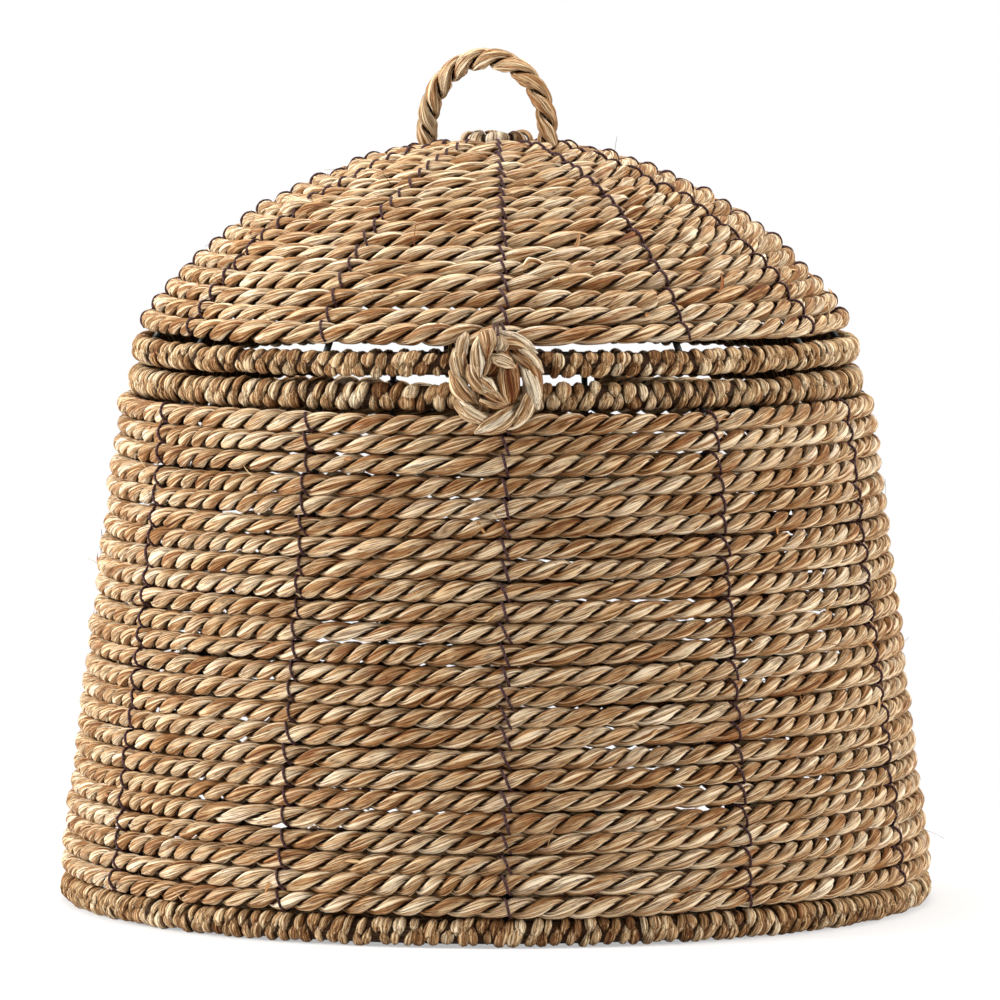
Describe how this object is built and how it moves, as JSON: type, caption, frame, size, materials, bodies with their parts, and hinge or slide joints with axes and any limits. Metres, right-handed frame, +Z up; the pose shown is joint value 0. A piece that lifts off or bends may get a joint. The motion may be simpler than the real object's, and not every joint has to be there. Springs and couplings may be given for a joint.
{
  "type": "woven lidded box",
  "caption": "Round coiled-rope basket box with a hinged domed lid, a rope bow handle and a rope loop that closes round a knot.",
  "frame": {"origin": "middle of the flat underside of the foot ring", "axes": "+Z up through the lid, -Y towards the closure loop, +Y towards the lid's hinge"},
  "size_m": [0.4188, 0.42, 0.4082],
  "materials": {
    "rope": "twisted seagrass",
    "wrap": "wrapped seagrass",
    "thread": "matt",
    "wire": "satin"
  },
  "bodies": {
    "basket": {"body_frame": "wire", "wall_rope": "rope", "floor_coil": "rope", "base_ring_wrap": "wrap", "body_rim_wrap": "wrap", "body_lacing_01": "thread", "body_lacing_02": "thread", "body_lacing_03": "thread", "body_lacing_04": "thread", "body_lacing_05": "thread", "body_lacing_06": "thread", "body_lacing_07": "thread", "body_lacing_08": "thread", "body_lacing_09": "thread", "body_lacing_10": "thread", "body_lacing_11": "thread", "closure_knot": "rope", "hinge_tie_left": "wrap", "hinge_tie_right": "wrap"},
    "lid": {"lid_frame": "wire", "lid_rope": "rope", "lid_rim_wrap": "wrap", "crown_wrap": "wrap", "lid_lacing_01": "thread", "lid_lacing_02": "thread", "lid_lacing_03": "thread", "lid_lacing_04": "thread", "lid_lacing_05": "thread", "lid_lacing_06": "thread", "lid_lacing_07": "thread", "lid_lacing_08": "thread", "lid_lacing_09": "thread", "lid_lacing_10": "thread", "lid_lacing_11": "thread", "lid_lacing_12": "thread", "handle_foot_left": "rope", "handle_foot_right": "rope", "loop_binding": "thread"},
    "handle": {"handle_bow": "rope"},
    "loop": {"closure_loop": "rope"}
  },
  "joints": [
    {"name": "lid_hinge", "type": "hinge", "parent": "basket", "child": "lid", "pos_m": [0, 0.17275, 0.25777], "axis": [-1, 0, 0], "range_deg": [0, 105], "deforming": ["hinge_tie_left", "hinge_tie_right"]},
    {"name": "loop_swing", "type": "hinge", "parent": "lid", "child": "loop", "pos_m": [0, -0.1743, 0.2765], "axis": [-1, 0, 0], "range_deg": [0, 150]},
    {"name": "handle_lean", "type": "hinge", "parent": "lid", "child": "handle", "pos_m": [-0.00428, -0.00413, 0.36884], "axis": [0.8965, -0.4431, 0], "range_deg": [-50, 50], "stiffness_Nm_per_rad": 0.03}
  ]
}
